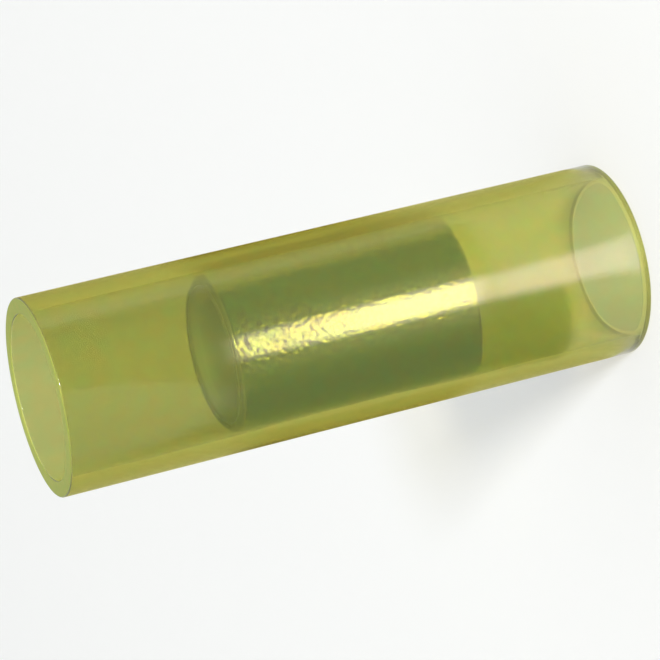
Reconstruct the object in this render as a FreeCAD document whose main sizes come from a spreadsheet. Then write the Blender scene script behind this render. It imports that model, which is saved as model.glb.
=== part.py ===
import FreeCAD, Part
import Sketcher
import math
import os

# A parallel splice connector for two stranded wires laid side by side:
# a short tinned copper barrel, crimped onto the wires, held in the middle
# of a plain nylon tube that is open at both ends.
# Millimetres. The axis is Z, and the lower end of the nylon is at Z = 0.


# Driving dimensions: name, value, meaning
SIZES = [
    ("barrel_bore", 4.75, "diameter that takes the stripped wires"),
    ("barrel_wall", 1.02, "thickness of the copper tube"),
    ("barrel_length", 10.8, "cut length of the copper tube"),
    ("barrel_lead_in", 0.34, "width and depth of the cone at each mouth"),
    ("barrel_edge_round", 0.1, "radius of the outer edge at each end"),
    ("seat_clearance", 0.05, "radial gap between copper and nylon where it is least"),
    ("neck_depth", 0.05, "how far the nylon's bore draws in at the middle of the barrel"),
    ("sleeve_wall", 0.705, "thickness of the nylon at its ends"),
    ("sleeve_length", 26.0, "cut length of the nylon tube"),
    ("sleeve_edge_round", 0.1, "radius of the four edges of the nylon tube"),
]

# Radii that follow from one another, from the wires outwards
BARREL_INNER = "sizes.barrel_bore / 2"
BARREL_OUTER = f"{BARREL_INNER} + sizes.barrel_wall"
NECK = f"{BARREL_OUTER} + sizes.seat_clearance"
ENTRY = f"{NECK} + sizes.neck_depth"
SLEEVE_OUTER = f"{ENTRY} + sizes.sleeve_wall"

# The neck is one arc from mouth to mouth of the barrel, as deep as neck_depth
HALF_BARREL = "sizes.barrel_length / 2"
NECK_ARC = f"(({HALF_BARREL})^2 + sizes.neck_depth^2) / (2 * sizes.neck_depth)"

# Heights: the barrel lies midway along the nylon
BOTTOM = "0 mm"
TOP = "sizes.sleeve_length"
MIDDLE = "sizes.sleeve_length / 2"
BARREL_LOW = f"{MIDDLE} - {HALF_BARREL}"
BARREL_HIGH = f"{MIDDLE} + {HALF_BARREL}"


def fill_sheet(doc):
    """Write the driving dimensions into a spreadsheet, one named cell each."""
    sheet = doc.addObject("Spreadsheet::Sheet", "sizes")
    for row, (name, value, meaning) in enumerate(SIZES, start=1):
        sheet.set(f"A{row}", name)
        sheet.set(f"B{row}", str(value))
        sheet.set(f"C{row}", meaning)
        sheet.setAlias(f"B{row}", name)
    doc.recompute()
    return sheet


def worked_out(item, expression):
    """The number that an expression gives, in millimetres."""
    result = item.evalExpression(expression)
    return getattr(result, "Value", result)


def add_body(doc, label):
    """A body whose label names the piece and its file."""
    body = doc.addObject("PartDesign::Body", label)
    body.Label = label
    return body


def add_sketch(body, name, role):
    """An empty sketch on the body's own origin plane that has this role."""
    sketch = body.newObject("Sketcher::SketchObject", name)
    for plane in body.Origin.OriginFeatures:
        if plane.Role == role:
            sketch.AttachmentSupport = [(plane, "")]
    sketch.MapMode = "FlatFace"
    return sketch


def bind(sketch, constraint, name, expression):
    """Add a dimension to the sketch and tie it to an expression."""
    number = sketch.addConstraint(constraint)
    sketch.renameConstraint(number, name)
    sketch.setExpression(f"Constraints.{name}", expression)


def add_circle(sketch, name, expression):
    """A circle round the sketch's origin, with its radius given by an expression."""
    radius = worked_out(sketch, expression)
    circle = Part.Circle(FreeCAD.Vector(0, 0, 0), FreeCAD.Vector(0, 0, 1), radius)
    index = sketch.addGeometry(circle)
    # A circle's centre is its point 3, and the sketch's origin is point 1 of -1
    sketch.addConstraint(Sketcher.Constraint("Coincident", index, 3, -1, 1))
    bind(sketch, Sketcher.Constraint("Radius", index, radius), name, expression)


def add_outline(sketch, corners, crown, arc_radius):
    """A closed outline: straight lines from corner to corner, then an arc back to the first.

    Each corner is a pair of expressions, and so is the crown, the middle of the arc.
    """
    places = []
    for across, up in corners + [crown]:
        places.append(FreeCAD.Vector(worked_out(sketch, across), worked_out(sketch, up), 0))
    middle = places.pop()
    for start, end in zip(places, places[1:]):
        sketch.addGeometry(Part.LineSegment(start, end))
    arc = sketch.addGeometry(Part.Arc(places[-1], middle, places[0]))

    # Line and arc alike start at their point 1 and end at their point 2
    for index in range(arc):
        sketch.addConstraint(Sketcher.Constraint("Coincident", index, 2, index + 1, 1))
    sketch.addConstraint(Sketcher.Constraint("Coincident", arc, 2, 0, 1))
    for index, (across, up) in enumerate(corners):
        place = places[index]
        along_x = Sketcher.Constraint("DistanceX", -1, 1, index, 1, place.x)
        along_y = Sketcher.Constraint("DistanceY", -1, 1, index, 1, place.y)
        bind(sketch, along_x, f"across_{index}", across)
        bind(sketch, along_y, f"up_{index}", up)
    size = Sketcher.Constraint("Radius", arc, worked_out(sketch, arc_radius))
    bind(sketch, size, "arc", arc_radius)


def circular_edges(feature, radius, heights):
    """Names of the feature's circular edges that have this radius and one of these heights."""
    names = []
    for number, edge in enumerate(feature.Shape.Edges, start=1):
        if not isinstance(edge.Curve, Part.Circle):
            continue
        if not math.isclose(edge.Curve.Radius, radius, abs_tol=1e-6):
            continue
        if any(math.isclose(edge.Curve.Center.z, height, abs_tol=1e-6) for height in heights):
            names.append(f"Edge{number}")
    return names


def break_edges(body, kind, base, radii, heights, size_property, size):
    """Fillet or chamfer the base's circular edges of these radii at these heights."""
    edges = []
    for radius in radii:
        edges += circular_edges(
            base, worked_out(body, radius), [worked_out(body, height) for height in heights]
        )
    feature = body.newObject(f"PartDesign::{kind}", f"{body.Label}_{kind.lower()}")
    feature.Base = (base, edges)
    feature.setExpression(size_property, size)
    body.Document.recompute()
    return feature


def make_barrel(doc):
    """The crimp barrel: a thick tube, rounded outside and coned inside at each mouth."""
    body = add_body(doc, "crimp_barrel")
    ring = add_sketch(body, "barrel_ring", "XY_Plane")
    add_circle(ring, "bore", BARREL_INNER)
    add_circle(ring, "outside", BARREL_OUTER)
    tube = body.newObject("PartDesign::Pad", "barrel_tube")
    tube.Profile = ring
    tube.setExpression("Length", "sizes.barrel_length")
    doc.recompute()

    ends = [BOTTOM, "sizes.barrel_length"]
    rounded = break_edges(
        body, "Fillet", tube, [BARREL_OUTER], ends, "Radius", "sizes.barrel_edge_round"
    )
    break_edges(body, "Chamfer", rounded, [BARREL_INNER], ends, "Size", "sizes.barrel_lead_in")
    body.setExpression("Placement.Base.z", BARREL_LOW)
    return body


def make_sleeve(doc):
    """The insulating sleeve: a thin tube, cut square, drawn in a little over the barrel."""
    body = add_body(doc, "insulating_sleeve")
    section = add_sketch(body, "sleeve_section", "XZ_Plane")
    corners = [
        (ENTRY, BARREL_LOW),
        (ENTRY, BOTTOM),
        (SLEEVE_OUTER, BOTTOM),
        (SLEEVE_OUTER, TOP),
        (ENTRY, TOP),
        (ENTRY, BARREL_HIGH),
    ]
    add_outline(section, corners, (NECK, MIDDLE), NECK_ARC)
    tube = body.newObject("PartDesign::Revolution", "sleeve_tube")
    tube.Profile = section
    tube.ReferenceAxis = (section, ["V_Axis"])
    tube.Angle = 360
    doc.recompute()

    break_edges(
        body, "Fillet", tube, [ENTRY, SLEEVE_OUTER], [BOTTOM, TOP],
        "Radius", "sizes.sleeve_edge_round",
    )
    return body


def check_document(doc):
    """Stop if any object failed to compute."""
    for item in doc.Objects:
        if "Invalid" in item.State or "Error" in item.State:
            raise RuntimeError(f"{item.Label} failed: {item.State}")


def check_shape(body):
    """Stop if the piece is not one valid solid."""
    if body.Shape.isNull() or not body.Shape.isValid():
        raise RuntimeError(f"{body.Label} has no valid shape")
    if len(body.Shape.Solids) != 1:
        raise RuntimeError(f"{body.Label} has {len(body.Shape.Solids)} solids")


def main():
    doc = FreeCAD.newDocument("parallel_splice_connector")
    fill_sheet(doc)
    pieces = [make_sleeve(doc), make_barrel(doc)]
    doc.recompute()
    check_document(doc)
    for body in pieces:
        check_shape(body)

    os.makedirs("parts", exist_ok=True)
    for body in pieces:
        body.Shape.exportStep(f"parts/{body.Label}.step")
        box = body.Shape.optimalBoundingBox(True, False)
        print(f"{body.Label}: {body.Shape.Volume:.3f} mm3, {len(body.Shape.Faces)} faces, "
              f"{2 * box.XMax:.3f} mm across, Z {box.ZMin:.3f} to {box.ZMax:.3f}")


main()
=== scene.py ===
import math
from collections import namedtuple

import bmesh
import bpy
from mathutils import Matrix, Vector
from mathutils.noise import fractal


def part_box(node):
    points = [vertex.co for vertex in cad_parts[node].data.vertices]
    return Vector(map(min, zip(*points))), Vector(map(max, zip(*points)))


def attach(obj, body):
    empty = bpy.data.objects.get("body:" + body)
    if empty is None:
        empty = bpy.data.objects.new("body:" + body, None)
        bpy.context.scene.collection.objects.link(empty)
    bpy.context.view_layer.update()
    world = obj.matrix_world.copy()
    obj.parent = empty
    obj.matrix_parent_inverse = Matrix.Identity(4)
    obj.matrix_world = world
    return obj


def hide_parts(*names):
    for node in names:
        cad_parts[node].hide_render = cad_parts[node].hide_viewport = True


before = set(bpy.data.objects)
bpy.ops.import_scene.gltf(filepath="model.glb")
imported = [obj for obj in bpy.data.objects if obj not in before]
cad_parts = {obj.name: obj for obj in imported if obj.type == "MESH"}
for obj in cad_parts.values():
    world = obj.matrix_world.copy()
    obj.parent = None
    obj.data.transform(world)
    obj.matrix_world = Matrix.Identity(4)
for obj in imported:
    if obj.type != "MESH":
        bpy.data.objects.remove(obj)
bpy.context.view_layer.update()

MM = 0.001

# The tube's own sizes, in millimetres, as the solids have them
sleeve_low, sleeve_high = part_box("insulating_sleeve")
barrel_low, barrel_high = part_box("crimp_barrel")
SLEEVE_RADIUS = sleeve_high.x / MM
SLEEVE_LENGTH = sleeve_high.z / MM
BARREL_RADIUS = barrel_high.x / MM
BARREL_LOW = barrel_low.z / MM
BARREL_HIGH = barrel_high.z / MM
SLEEVE_WALL = 0.705
SLEEVE_EDGE = 0.1
NECK_DEPTH = 0.05
BARREL_BORE = 2.375
BARREL_EDGE = 0.1
BARREL_LEAD_IN = 0.34

# How finely the pieces are meshed: steps round each edge and each piece, and along
# each stretch of the section
ROUND_STEPS = 6
SLEEVE_TURNS = 384
BARREL_TURNS = 480
SLEEVE_OUTSIDE_STEPS = 90
SLEEVE_ENTRY_STEPS = 10
NECK_STEPS = 16
BARREL_OUTSIDE_STEPS = 150
BARREL_BORE_STEPS = 20
LEAD_IN_STEPS = 4

# The tin plate was tumbled, which left dents over fine ripples, and the nylon is
# faintly wavy from the die: sizes across and depths, in millimetres. The noise is read
# at a height times the stretch, so that its features are longer along the axis.
DENT_SIZE = 0.8
DENT_DEPTH = 0.016
RIPPLE_SIZE = 0.16
RIPPLE_DEPTH = 0.02
TUMBLED_STRETCH = 0.7
WAVE_SIZE = 1.4
WAVE_DEPTH = 0.006
WAVE_STRETCH = 0.25

# The view of the photograph: where the camera stands, in millimetres,
# how it is turned, in radians, and its lens
CAMERA_DISTANCE = 123.30
CAMERA_HEIGHT = 54.01
CAMERA_YAW = -0.00113
CAMERA_PITCH = -0.32053
CAMERA_ROLL = -1.81081
LENS = 168.15
SENSOR = 36.0

# Noise in the materials: scale per metre, detail and, where given, stretch
MOTTLE = (1500, 5)
SAW_MARKS = (3000, 3)
HAZE = (2500, 2)
DIE_LINES = (1600, 2, (1, 1, 0.02))
PLATE_SPECKS = (7000, 3)
WEAR = (6000, 2)
GRAIN = (4800, 3, (1, 1, 0.7))
COLOUR_SPAN = (0.35, 0.65)
ROUGHNESS_SPAN = (0.3, 0.7)

# How level a face has to lie to count as a sawn end of the nylon, or as the barrel's lip
SAWN_SPAN = (0.5, 0.9)
LIP_SPAN = (0.75, 0.95)

# Nylon: its mottled skin, its sawn ends, which are duller and rougher, and the dye in it
NYLON_IOR = 1.53
NYLON_GREENER = (0.70, 0.81, 0.29)
NYLON_YELLOWER = (0.81, 0.78, 0.27)
SAWN_GREENER = (0.55, 0.66, 0.08)
SAWN_YELLOWER = (0.63, 0.67, 0.10)
CLEAR_SHARE = 0.9
SAWN_CLEAR_SHARE = 0.5
SAWN_ROUGHNESS = 0.5
SKIN_ROUGHNESS = (0.03, 0.07)
DIE_LINE_DEPTH = 0.002 * MM
NYLON_SHADOW = (1, 1, 0.97, 1)
DYE = (0.47, 0.39, 0.10, 1)
DYE_DENSITY = 660

# Tin: the worn plate outside, and the drawn bore and the flat lip at each mouth, whose darker,
# greener colours are painted shade. The plate's colour ends between two depths below the
# skin, and the bore's roughness ends over a width inside the middle of the lip, in millimetres.
PLATE_DARK = (0.52, 0.56, 0.54)
PLATE_LIGHT = (0.76, 0.78, 0.74)
BORE_SHADED_METAL = (0.28, 0.37, 0.24, 1)
LIP_SHADED_METAL = (0.22, 0.29, 0.20, 1)
PLATE_END = (0.1, 0.02)
BORE_ROUGHNESS = 0.75
BORE_END = 0.2
WORN_ROUGHNESS = (0.05, 0.13)
GRAIN_DEPTH = 0.011 * MM

# Floor, lamp and room: the floor's size and how far it lies below the part, in metres,
# the lamp's distance and size in millimetres, and its angles in degrees, round from the
# camera towards +X and up
FLOOR_SIZE = 3
FLOOR_DROP = 0.01 * MM
FLOOR_GREY = (0.9, 0.9, 0.9, 1)
FLOOR_GLOW = 0.35
LAMP_AZIMUTH = 11.5
LAMP_ELEVATION = 41
LAMP_DISTANCE = 1200
LAMP_SIZE = 150
LAMP_WATTS = 11.3
LAMP_COLOUR = (1.0, 0.97, 0.92)
ROOM_COLOUR = (0.94, 1.0, 1.0, 1)
ROOM_STRENGTH = 0.58

# The stage sheets, which paint shade and highlights into reflections, and light and shade
# into what shows through the nylon: their radii, in millimetres, and the mirrored heights
# between which the foot and the head of the barrel show
SHADE_NEAR = 5
SHADE_FAR = 600
HIGHLIGHT_CARD_FAR = 70
INSIDE_NEAR = 0.05
INSIDE_FAR = 3.3
BARREL_FOOT = (6.4, 7.5)
BARREL_HEAD = (18.3, 19.1)

# Depths of a ray: above the first once it has met any surface, and above the second only
# when it came from behind the wall, as a reflection inside the wall crosses two surfaces
PAST_ANY = 0.5
PAST_WALL = 2.5


def arc(centre, radius, start, end, steps=ROUND_STEPS):
    """Points on an arc in the section plane, angles in degrees from outwards to upwards."""
    points = []
    for step in range(steps + 1):
        angle = math.radians(start + (end - start) * step / steps)
        points.append((centre[0] + radius * math.cos(angle), centre[1] + radius * math.sin(angle)))
    return points


def line(start, end, steps):
    """Points from start up to, but not including, end."""
    points = []
    for step in range(steps):
        across = start[0] + (end[0] - start[0]) * step / steps
        up = start[1] + (end[1] - start[1]) * step / steps
        points.append((across, up))
    return points


def turned(name, section, turns, sunk):
    """A closed section, given as radius and height, turned once round the Z axis.

    How far the real surface deviates from the section is given by sunk, for a place in
    millimetres, and is taken off the radius.
    """
    mesh = bpy.data.meshes.new(name)
    bm = bmesh.new()
    rings = []
    for turn in range(turns):
        angle = 2 * math.pi * turn / turns
        way = Vector((math.cos(angle), math.sin(angle), 0))
        ring = []
        for radius, height in section:
            place = way * radius + Vector((0, 0, height))
            ring.append(bm.verts.new((place - way * sunk(place, radius)) * MM))
        rings.append(ring)
    for turn in range(turns):
        here = rings[turn]
        there = rings[(turn + 1) % turns]
        for index in range(len(section)):
            after = (index + 1) % len(section)
            bm.faces.new((here[index], there[index], there[after], here[after]))
    for face in bm.faces:
        face.smooth = True
    bm.to_mesh(mesh)
    bm.free()
    piece = bpy.data.objects.new(name, mesh)
    bpy.context.scene.collection.objects.link(piece)
    return piece


def rough_height(place, size, stretch):
    """Smooth noise round 0.5, with features of this size, longer along the axis."""
    flattened = Vector((place.x, place.y, place.z * stretch))
    return 0.5 + 0.5 * fractal(flattened / size, 1.0, 2.0, 2)


def tumbled(place, radius):
    """Depth of the dents and ripples on the outside of the barrel."""
    if radius < BARREL_RADIUS - BARREL_EDGE:
        return 0
    dents = rough_height(place, DENT_SIZE, TUMBLED_STRETCH)
    ripples = rough_height(place, RIPPLE_SIZE, TUMBLED_STRETCH)
    return max(0, DENT_DEPTH * dents + RIPPLE_DEPTH * ripples)


def wavy(place, radius):
    """Depth of the waves along the nylon, cut into its outside and its inside alike."""
    if not SLEEVE_EDGE < place.z < SLEEVE_LENGTH - SLEEVE_EDGE:
        return 0
    depth = WAVE_DEPTH * max(0, rough_height(place, WAVE_SIZE, WAVE_STRETCH))
    return depth if radius > SLEEVE_RADIUS - SLEEVE_WALL / 2 else -depth


def sleeve_section():
    """The nylon's section, anticlockwise from the outer wall upwards."""
    outer = SLEEVE_RADIUS
    inner = SLEEVE_RADIUS - SLEEVE_WALL
    e = SLEEVE_EDGE
    top = SLEEVE_LENGTH
    points = line((outer, e), (outer, top - e), SLEEVE_OUTSIDE_STEPS)
    points += arc((outer - e, top - e), e, 0, 90)
    points += arc((inner + e, top - e), e, 90, 180)
    points += line((inner, top - e), (inner, BARREL_HIGH), SLEEVE_ENTRY_STEPS)[1:]
    middle = (BARREL_HIGH + BARREL_LOW) / 2
    half = (BARREL_HIGH - BARREL_LOW) / 2
    for step in range(NECK_STEPS + 1):
        share = 1 - 2 * step / NECK_STEPS
        points.append((inner - NECK_DEPTH * (1 - share * share), middle + half * share))
    points += line((inner, BARREL_LOW), (inner, e), SLEEVE_ENTRY_STEPS)[1:]
    points += arc((inner + e, e), e, 180, 270)
    points += arc((outer - e, e), e, 270, 360)[:-1]
    return points


def barrel_section():
    """The copper's section, anticlockwise from the outer wall upwards."""
    outer = BARREL_RADIUS
    inner = BARREL_BORE
    e = BARREL_EDGE
    c = BARREL_LEAD_IN
    points = line((outer, BARREL_LOW + e), (outer, BARREL_HIGH - e), BARREL_OUTSIDE_STEPS)
    points += arc((outer - e, BARREL_HIGH - e), e, 0, 90)
    points += line((inner + c, BARREL_HIGH), (inner, BARREL_HIGH - c), LEAD_IN_STEPS)
    points += line((inner, BARREL_HIGH - c), (inner, BARREL_LOW + c), BARREL_BORE_STEPS)
    points += line((inner, BARREL_LOW + c), (inner + c, BARREL_LOW), LEAD_IN_STEPS)
    points += [(inner + c, BARREL_LOW)]
    points += arc((outer - e, BARREL_LOW + e), e, 270, 360)[:-1]
    return points


def new_material(name):
    """An empty material and its node tree."""
    material = bpy.data.materials.new(name)
    material.use_nodes = True
    tree = material.node_tree
    tree.nodes.clear()
    return material, tree


def math_node(tree, operation, first, second=None):
    """A math node for one or two values, the second of which may be a number."""
    node = tree.nodes.new("ShaderNodeMath")
    node.operation = operation
    tree.links.new(first, node.inputs[0])
    if isinstance(second, float):
        node.inputs[1].default_value = second
    elif second is not None:
        tree.links.new(second, node.inputs[1])
    return node


def above(tree, value, limit):
    """1 where the value is above the limit, otherwise 0."""
    return math_node(tree, "GREATER_THAN", value, limit).outputs["Value"]


def times(tree, first, second):
    """The product of two values."""
    return math_node(tree, "MULTIPLY", first, second).outputs["Value"]


def larger(tree, first, second):
    """The larger of two values."""
    return math_node(tree, "MAXIMUM", first, second).outputs["Value"]


def span(tree, value, low, high, to_low, to_high):
    """The value, moved from the range low to high to the range to_low to to_high."""
    node = tree.nodes.new("ShaderNodeMapRange")
    node.inputs["From Min"].default_value = low
    node.inputs["From Max"].default_value = high
    node.inputs["To Min"].default_value = to_low
    node.inputs["To Max"].default_value = to_high
    tree.links.new(value, node.inputs["Value"])
    return node.outputs["Result"]


def chosen(tree, share, first, second):
    """The first value where the share is 0, the second where it is 1."""
    mix = tree.nodes.new("ShaderNodeMix")
    tree.links.new(share, mix.inputs["Factor"])
    tree.links.new(first, mix.inputs["A"])
    tree.links.new(second, mix.inputs["B"])
    return mix.outputs["Result"]


def mixed(tree, share, first, second):
    """The first colour where the share is 0, the second where it is 1; each may be constant."""
    mix = tree.nodes.new("ShaderNodeMix")
    mix.data_type = "RGBA"
    tree.links.new(share, mix.inputs["Factor"])
    for name, colour in (("A", first), ("B", second)):
        if isinstance(colour, tuple):
            mix.inputs[name].default_value = colour
        else:
            tree.links.new(colour, mix.inputs[name])
    return mix.outputs["Result"]


def ramp(tree, value, low, high, low_colour, high_colour):
    """Colour from low_colour at the value low to high_colour at the value high."""
    share = span(tree, value, low, high, 0.0, 1.0)
    return mixed(tree, share, (*low_colour, 1), (*high_colour, 1))


def noise(tree, scale, detail, stretch=(1, 1, 1)):
    """Noise in the piece's own space, its features 1 / scale metres across."""
    place = tree.nodes.new("ShaderNodeTexCoord")
    mapping = tree.nodes.new("ShaderNodeMapping")
    mapping.inputs["Scale"].default_value = stretch
    tree.links.new(place.outputs["Object"], mapping.inputs["Vector"])
    texture = tree.nodes.new("ShaderNodeTexNoise")
    texture.inputs["Scale"].default_value = scale
    texture.inputs["Detail"].default_value = detail
    tree.links.new(mapping.outputs["Vector"], texture.inputs["Vector"])
    return texture.outputs["Fac"]


def bumped(tree, height, depth):
    """A normal from a height between 0 and 1, depth metres high."""
    node = tree.nodes.new("ShaderNodeBump")
    node.inputs["Distance"].default_value = depth
    tree.links.new(height, node.inputs["Height"])
    return node.outputs["Normal"]


def facing_up(tree):
    """How level a face lies: 0 on the walls, 1 on the ends."""
    face = tree.nodes.new("ShaderNodeNewGeometry")
    parts = tree.nodes.new("ShaderNodeSeparateXYZ")
    tree.links.new(face.outputs["Normal"], parts.inputs["Vector"])
    return math_node(tree, "ABSOLUTE", parts.outputs["Z"]).outputs["Value"]


def axis_distance(tree):
    """How far from the Z axis a place of the piece is, in metres."""
    place = tree.nodes.new("ShaderNodeTexCoord")
    flat = tree.nodes.new("ShaderNodeVectorMath")
    flat.operation = "MULTIPLY"
    flat.inputs[1].default_value = (1, 1, 0)
    tree.links.new(place.outputs["Object"], flat.inputs[0])
    radius = tree.nodes.new("ShaderNodeVectorMath")
    radius.operation = "LENGTH"
    tree.links.new(flat.outputs["Vector"], radius.inputs[0])
    return radius.outputs["Value"]


def fade_parts(tree):
    """The red, green and blue of a sheet's fade."""
    fade = tree.nodes.new("ShaderNodeVertexColor")
    fade.layer_name = "fade"
    parts = tree.nodes.new("ShaderNodeSeparateColor")
    tree.links.new(fade.outputs["Color"], parts.inputs["Color"])
    return parts.outputs


def nylon_material():
    """Clear yellow nylon, a little hazy, with faint lines from the extruder."""
    material, tree = new_material("yellow_nylon")
    link = tree.links.new
    body = tree.nodes.new("ShaderNodeBsdfPrincipled")
    body.inputs["IOR"].default_value = NYLON_IOR
    level = facing_up(tree)
    skin = ramp(tree, noise(tree, *MOTTLE), *COLOUR_SPAN, NYLON_GREENER, NYLON_YELLOWER)
    sawn = ramp(tree, noise(tree, *SAW_MARKS), *COLOUR_SPAN, SAWN_GREENER, SAWN_YELLOWER)
    at_end = span(tree, level, *SAWN_SPAN, 0.0, 1.0)
    link(mixed(tree, at_end, skin, sawn), body.inputs["Base Color"])
    clear_share = span(tree, level, *SAWN_SPAN, CLEAR_SHARE, SAWN_CLEAR_SHARE)
    link(clear_share, body.inputs["Transmission Weight"])
    sawn_rough = span(tree, level, *SAWN_SPAN, 0.0, SAWN_ROUGHNESS)
    skin_rough = span(tree, noise(tree, *HAZE), *ROUGHNESS_SPAN, *SKIN_ROUGHNESS)
    link(larger(tree, sawn_rough, skin_rough), body.inputs["Roughness"])
    link(bumped(tree, noise(tree, *DIE_LINES), DIE_LINE_DEPTH), body.inputs["Normal"])

    # Light that would make a shadow passes almost unchanged
    clear = tree.nodes.new("ShaderNodeBsdfTransparent")
    clear.inputs["Color"].default_value = NYLON_SHADOW
    path = tree.nodes.new("ShaderNodeLightPath")
    mix = tree.nodes.new("ShaderNodeMixShader")
    link(path.outputs["Is Shadow Ray"], mix.inputs["Fac"])
    link(body.outputs["BSDF"], mix.inputs[1])
    link(clear.outputs["BSDF"], mix.inputs[2])

    dye = tree.nodes.new("ShaderNodeVolumeAbsorption")
    dye.inputs["Color"].default_value = DYE
    dye.inputs["Density"].default_value = DYE_DENSITY
    out = tree.nodes.new("ShaderNodeOutputMaterial")
    link(mix.outputs["Shader"], out.inputs["Surface"])
    link(dye.outputs["Volume"], out.inputs["Volume"])
    return material


def tin_material():
    """Bright tin plate that was tumbled: satin and grainy outside, rough in the bore, with painted
    shade in the bore and on the flat lip.
    """
    material, tree = new_material("tinned_copper")
    link = tree.links.new
    body = tree.nodes.new("ShaderNodeBsdfPrincipled")
    body.inputs["Metallic"].default_value = 1
    radius = axis_distance(tree)
    plate = ramp(tree, noise(tree, *PLATE_SPECKS), *COLOUR_SPAN, PLATE_DARK, PLATE_LIGHT)
    deep, shallow = [(BARREL_RADIUS - depth) * MM for depth in PLATE_END]
    below_skin = span(tree, radius, deep, shallow, 1.0, 0.0)
    # Inside the bore the colour is painted shade, darker and greener than the plate
    plate_or_bore_shade = mixed(tree, below_skin, plate, BORE_SHADED_METAL)
    # On the flat lip the colour is painted shade, darker and greener than the plate
    on_lip = span(tree, facing_up(tree), *LIP_SPAN, 0.0, 1.0)
    link(mixed(tree, on_lip, plate_or_bore_shade, LIP_SHADED_METAL), body.inputs["Base Color"])

    mid_lip = (BARREL_RADIUS + BARREL_BORE + BARREL_LEAD_IN) / 2
    bore_rough = span(tree, radius, (mid_lip - BORE_END) * MM, mid_lip * MM, BORE_ROUGHNESS, 0.0)
    worn = span(tree, noise(tree, *WEAR), *ROUGHNESS_SPAN, *WORN_ROUGHNESS)
    link(larger(tree, bore_rough, worn), body.inputs["Roughness"])
    link(bumped(tree, noise(tree, *GRAIN), GRAIN_DEPTH), body.inputs["Normal"])
    out = tree.nodes.new("ShaderNodeOutputMaterial")
    link(body.outputs["BSDF"], out.inputs["Surface"])
    return material


def floor_material():
    """A pale floor that glows a little where it is seen: directly, mirrored or through nylon."""
    material, tree = new_material("pale_floor")
    link = tree.links.new
    body = tree.nodes.new("ShaderNodeBsdfDiffuse")
    body.inputs["Color"].default_value = FLOOR_GREY
    white = tree.nodes.new("ShaderNodeEmission")
    path = tree.nodes.new("ShaderNodeLightPath")
    seen = larger(tree, path.outputs["Is Camera Ray"], path.outputs["Is Glossy Ray"])
    seen = larger(tree, seen, path.outputs["Is Transmission Ray"])
    mix = tree.nodes.new("ShaderNodeMixShader")
    link(times(tree, seen, FLOOR_GLOW), mix.inputs["Fac"])
    link(body.outputs["BSDF"], mix.inputs[1])
    link(white.outputs["Emission"], mix.inputs[2])
    out = tree.nodes.new("ShaderNodeOutputMaterial")
    link(mix.outputs["Shader"], out.inputs["Surface"])
    return material


def glow_or_tint(tree, level, colour, strength):
    """A clear surface that glows as the level says, or with no strength is tinted by it."""
    link = tree.links.new
    out = tree.nodes.new("ShaderNodeOutputMaterial")
    clear = tree.nodes.new("ShaderNodeBsdfTransparent")
    if strength:
        glow = tree.nodes.new("ShaderNodeEmission")
        glow.inputs["Color"].default_value = (*colour, 1)
        link(times(tree, level, strength), glow.inputs["Strength"])
        both = tree.nodes.new("ShaderNodeAddShader")
        link(clear.outputs["BSDF"], both.inputs[0])
        link(glow.outputs["Emission"], both.inputs[1])
        link(both.outputs["Shader"], out.inputs["Surface"])
    else:
        link(ramp(tree, level, 0, 1, (1, 1, 1), colour), clear.inputs["Color"])
        link(clear.outputs["BSDF"], out.inputs["Surface"])


def painted_reflection_material(name, colour, strength):
    """A sheet that only reflections see, which paints light or shade into them: one that glows, a
    painted highlight, or with no strength one that tints, a painted shade.

    The green of its fade is for reflections on the nylon's outer skin, the blue for those
    inside the wall, and the red for those on what lies behind it.
    """
    material, tree = new_material(name)
    path = tree.nodes.new("ShaderNodeLightPath")
    reflected = above(tree, path.outputs["Glossy Depth"], PAST_ANY)
    entered = above(tree, path.outputs["Transmission Depth"], PAST_ANY)
    behind = above(tree, path.outputs["Transmission Depth"], PAST_WALL)
    parts = fade_parts(tree)
    within = chosen(tree, behind, parts["Blue"], parts["Red"])
    level = chosen(tree, entered, parts["Green"], within)
    glow_or_tint(tree, times(tree, level, reflected), colour, strength)
    material.cycles.emission_sampling = "NONE"
    return material


def painted_backing_material(name, colour, strength):
    """A sheet that is seen only straight through the nylon: it glows, as painted light, or tints, as
    painted shade, as above.
    """
    material, tree = new_material(name)
    path = tree.nodes.new("ShaderNodeLightPath")
    entered = above(tree, path.outputs["Transmission Depth"], PAST_ANY)
    reflected = above(tree, path.outputs["Glossy Depth"], PAST_ANY)
    straight = math_node(tree, "SUBTRACT", entered, reflected)
    straight.use_clamp = True
    level = times(tree, fade_parts(tree)["Red"], straight.outputs["Value"])
    glow_or_tint(tree, level, colour, strength)
    material.cycles.emission_sampling = "NONE"
    return material


def add_camera():
    """The camera at the photograph's viewing angle, rolled so that the tube lies as it does there."""
    forward = Vector((
        math.sin(CAMERA_YAW) * math.cos(CAMERA_PITCH),
        math.cos(CAMERA_YAW) * math.cos(CAMERA_PITCH),
        math.sin(CAMERA_PITCH),
    ))
    level = Vector((math.cos(CAMERA_YAW), -math.sin(CAMERA_YAW), 0))
    upright = level.cross(forward)
    right = math.cos(CAMERA_ROLL) * level + math.sin(CAMERA_ROLL) * upright
    up = math.cos(CAMERA_ROLL) * upright - math.sin(CAMERA_ROLL) * level
    data = bpy.data.cameras.new("camera")
    data.lens = LENS
    data.sensor_width = SENSOR
    data.clip_start = 1 * MM
    camera = bpy.data.objects.new("camera", data)
    turn = Matrix((right, up, -forward)).transposed().to_4x4()
    place = Matrix.Translation(Vector((0, -CAMERA_DISTANCE, CAMERA_HEIGHT)) * MM)
    camera.matrix_world = place @ turn
    bpy.context.scene.collection.objects.link(camera)
    bpy.context.scene.camera = camera


def add_floor():
    """The floor, just below the part's lower end."""
    bpy.ops.mesh.primitive_plane_add(size=FLOOR_SIZE, location=(0, 0, -FLOOR_DROP))
    floor = bpy.context.object
    floor.name = "floor"
    floor.data.materials.append(floor_material())


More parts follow.
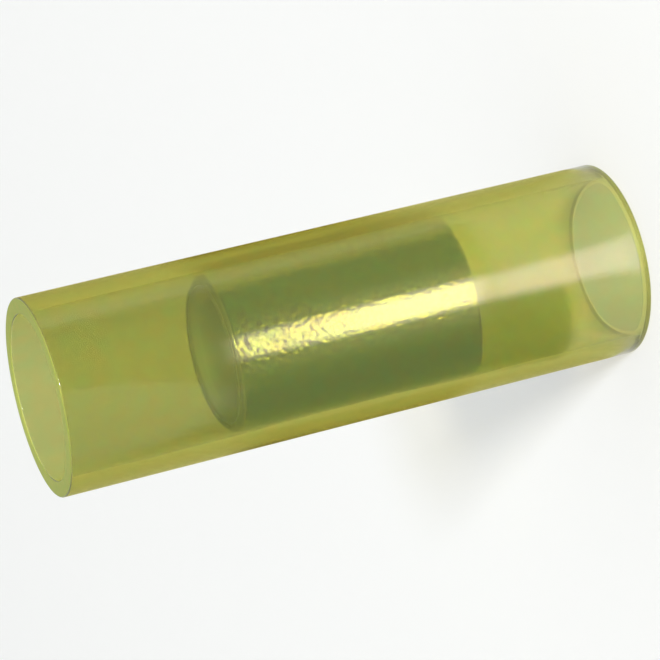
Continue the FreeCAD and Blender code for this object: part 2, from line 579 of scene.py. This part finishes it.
def add_lamp():
    """The one lamp, a square aimed at the part's middle, high in front and to the camera's right."""
    data = bpy.data.lights.new("key", "AREA")
    data.size = LAMP_SIZE * MM
    data.energy = LAMP_WATTS
    data.color = LAMP_COLOUR
    lamp = bpy.data.objects.new("key", data)
    a = math.radians(LAMP_AZIMUTH)
    e = math.radians(LAMP_ELEVATION)
    way = Vector((math.sin(a) * math.cos(e), -math.cos(a) * math.cos(e), math.sin(e)))
    middle = Vector((0, 0, SLEEVE_LENGTH / 2 * MM))
    lamp.location = middle + way * LAMP_DISTANCE * MM
    lamp.rotation_euler = way.to_track_quat("Z", "Y").to_euler()
    bpy.context.scene.collection.objects.link(lamp)


def add_room():
    """The even light that comes from all round."""
    world = bpy.data.worlds.new("studio")
    world.use_nodes = True
    background = world.node_tree.nodes["Background"]
    background.inputs["Color"].default_value = ROOM_COLOUR
    background.inputs["Strength"].default_value = ROOM_STRENGTH
    bpy.context.scene.world = world


def smooth(value, low, high):
    """0 below low, 1 above high, and a smooth step between them."""
    share = min(1, max(0, (value - low) / (high - low)))
    return share * share * (3 - 2 * share)


def band(value, low, full, still_full, high):
    """1 between full and still_full, with a smooth step to 0 at low and at high."""
    return smooth(value, low, full) * (1 - smooth(value, still_full, high))


def mirrored_height(radius):
    """The height on the tube's front at which the camera sees this radius of the floor mirrored."""
    reach = radius - SLEEVE_RADIUS
    return CAMERA_HEIGHT * reach / (CAMERA_DISTANCE - SLEEVE_RADIUS + reach)


# A place on a sheet: the height on the tube that mirrors it, its azimuth in degrees from
# the camera towards +X, its radius, and x and y, all lengths in millimetres
Spot = namedtuple("Spot", "height azimuth radius x y")


def spot_at(x, y):
    """The spot for a place on the floor."""
    radius = math.hypot(x, y)
    return Spot(mirrored_height(radius), math.degrees(math.atan2(x, -y)), radius, x, y)


def add_sheet(name, height, near, far, level, material, reach=180, rings=60, turns=160):
    """A flat sector round the tube, out to reach degrees each side of the camera's azimuth.

    Its fade is what level gives for each spot.
    """
    mesh = bpy.data.meshes.new(name)
    bm = bmesh.new()
    fade = bm.loops.layers.float_color.new("fade")
    rows = []
    for ring in range(rings + 1):
        radius = near * (far / near) ** (ring / rings)
        row = []
        for turn in range(turns + 1):
            angle = math.radians(reach * (2 * turn / turns - 1))
            place = (radius * math.sin(angle), -radius * math.cos(angle), height)
            row.append(bm.verts.new([part * MM for part in place]))
        rows.append(row)
    for ring in range(rings):
        for turn in range(turns):
            low = rows[ring]
            high = rows[ring + 1]
            face = bm.faces.new((low[turn], low[turn + 1], high[turn + 1], high[turn]))
            for loop in face.loops:
                shares = level(spot_at(loop.vert.co.x / MM, loop.vert.co.y / MM))
                loop[fade] = (*shares, 1)
    bm.to_mesh(mesh)
    bm.free()
    sheet = bpy.data.objects.new(name, mesh)
    bpy.context.scene.collection.objects.link(sheet)
    sheet.data.materials.append(material)


def beside_barrel(spot):
    """1 where the floor is mirrored on the stretch of tube that holds the barrel."""
    return band(spot.height, *BARREL_FOOT, *BARREL_HEAD)


# Each of the functions below gives the red, green and blue of a sheet's fade at a spot.
# Their limits are degrees or millimetres, and their factors shares of full strength.


def metal_painted_shade(spot):
    """Painted shade in the metal's reflections, on the floor in front of the tube."""
    metal = beside_barrel(spot) * band(spot.azimuth, -165, -145, 76, 92)
    darkest = band(spot.azimuth, -100, -75, -60, -40)
    metal *= 0.62 + 0.08 * smooth(spot.azimuth, -115, -95) + 0.3 * darkest
    return metal + 0.9 * skin_painted_shade(spot)[0], 0, 0


def skin_painted_shade(spot):
    """Painted shade in the nylon's reflections, on the floor in front of the tube."""
    skin = 0.9 * beside_barrel(spot) * band(spot.azimuth, -110, -90, 74, 89)
    lit = smooth(-spot.x - 0.78 * (110 + spot.y), -3, 3)
    end = smooth(spot.height, *BARREL_HEAD) * band(spot.azimuth, -110, -90, 70, 85)
    end *= 1 - 0.7 * lit
    foot = band(spot.height, 3.1, 3.9, *BARREL_FOOT) * band(spot.azimuth, -110, -95, -22, -16)
    return end + foot, skin + end + foot, skin + end + foot


def edge_painted_shade(spot):
    """Painted warm shade in the reflections at the tube's edges, most of all its upper one."""
    near_barrel = band(spot.height, 6.8, 8.6, 16.5, 19.6)
    upper = smooth(spot.azimuth, 95, 110) * (0.4 + 0.6 * smooth(spot.height, 6.5, 12))
    upper *= 1 - 0.4 * smooth(spot.height, 17.5, 20.5)
    lower = smooth(-spot.azimuth, 100, 120) * (0.4 + 0.5 * near_barrel)
    within = 0.65 * upper * near_barrel * (1 - smooth(spot.azimuth, 130, 155))
    return 0, upper + lower, within


def edge_painted_tint(spot):
    """Painted yellow tint on the reflections at the tube's edges, outside and inside the wall."""
    level = smooth(abs(spot.azimuth), 75, 100)
    return 0, level, level


def highlight_card_level(spot):
    """The painted highlight card's glow, which only reflections see: less near the tube, fading away
    from it, with soft sides.
    """
    along = 0.40 + 0.60 * smooth(spot.height, 6.8, 8.2)
    along *= 1 - 0.5 * smooth(spot.height, 10.4, 18.5)
    along *= 1 - smooth(spot.height, 18.3, 18.8)
    core = 1 - smooth(abs(spot.azimuth), 7, 20)
    skirt = 0.11 * (1 - smooth(abs(spot.azimuth), 10, 42))
    level = along * max(core, skirt)
    return level, level, level


def far_painted_shade(spot):
    """Painted shade on the floor further off, which only shows through the upper half of the tube."""
    return smooth(spot.radius, 42, 60), 0, 0


def foot_painted_light(spot):
    """Painted light on the floor round the foot, seen only through the tube, where the shadow would
    show.
    """
    return band(spot.radius, 4, 6, 16, 26), 0, 0


def below_painted_shadow(spot):
    """Painted shadow, deep green, seen only through the tube below the barrel, on its lower side."""
    return smooth(-spot.x, 0.35, 0.9) * band(spot.y, 5.0, 6.4, 22, 30), 0, 0


def everywhere(spot):
    """Full strength at any spot."""
    return 1, 1, 1


def add_sheets():
    """The sheets that paint shade, highlights and light in place of a room, each at its own height,
    in millimetres.
    """
    # Painted shade in reflections: dark tints in front of the tube, and a yellow tint at its edges
    for name, height, level, colour in (
        ("metal_painted_shade", 0.02, metal_painted_shade, (0.02, 0.42, 0.19)),
        ("skin_painted_shade", 0.03, skin_painted_shade, (0.20, 0.28, 0.24)),
        ("edge_painted_shade", 0.04, edge_painted_shade, (0.50, 0.42, 0.08)),
        ("edge_painted_tint", 0.045, edge_painted_tint, (1.0, 1.0, 0.62)),
    ):
        tint = painted_reflection_material(name, colour, 0.0)
        add_sheet(name, height, SHADE_NEAR, SHADE_FAR, level, tint)
    # A glowing card that only reflections see: a painted highlight
    card = painted_reflection_material("front_highlight_card", (1.0, 0.76, 0.95), 7.0)
    add_sheet("front_highlight_card", 0.05, SHADE_NEAR, HIGHLIGHT_CARD_FAR, highlight_card_level, card, reach=42)
    # Painted shade on the far floor, seen only through the nylon
    far_tint = painted_backing_material("far_painted_shade", (0.85, 0.86, 0.92), 0.0)
    add_sheet("far_painted_shade", 0.06, SHADE_NEAR, SHADE_FAR, far_painted_shade, far_tint)
    # Painted light round the foot, seen only through the nylon
    white = painted_backing_material("foot_painted_light", (1.0, 1.0, 1.0), 0.3)
    add_sheet("foot_painted_light", 0.07, 3.9, 30, foot_painted_light, white, rings=30)
    # Painted shadow below the barrel, seen only through the nylon
    green = painted_backing_material("below_painted_shadow", (0.52, 0.61, 0.06), 0.0)
    add_sheet("below_painted_shadow", 0.08, 4, 40, below_painted_shadow, green)

    # Two small ones lie inside the tube: painted shade on the floor in the bore, seen through the
    # nylon, and a painted glow that only reflections see
    pale = painted_backing_material("bore_floor_painted_shade", (0.78, 0.86, 1.0), 0.0)
    add_sheet("bore_floor_painted_shade", 0.09, INSIDE_NEAR, INSIDE_FAR, everywhere, pale, rings=6, turns=60)
    # Painted glow in the bore's reflections
    lit = painted_reflection_material("bore_painted_glow", (0.5, 0.8, 0.4), 0.24)
    add_sheet("bore_painted_glow", 0.10, INSIDE_NEAR, INSIDE_FAR, everywhere, lit, rings=6, turns=60)


add_camera()

sleeve = turned("nylon_sleeve", sleeve_section(), SLEEVE_TURNS, wavy)
sleeve.data.materials.append(nylon_material())
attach(sleeve, "root")
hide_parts("insulating_sleeve")

barrel = turned("tinned_barrel", barrel_section(), BARREL_TURNS, tumbled)
barrel.data.materials.append(tin_material())
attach(barrel, "root")
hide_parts("crimp_barrel")

add_floor()
add_lamp()
add_sheets()
add_room()

scene = bpy.context.scene
scene.view_settings.view_transform = "Standard"

# A ray may cross both walls of the nylon twice, and each sheet on its way counts too
scene.cycles.max_bounces = 20
scene.cycles.transmission_bounces = 20
scene.cycles.transparent_max_bounces = 32
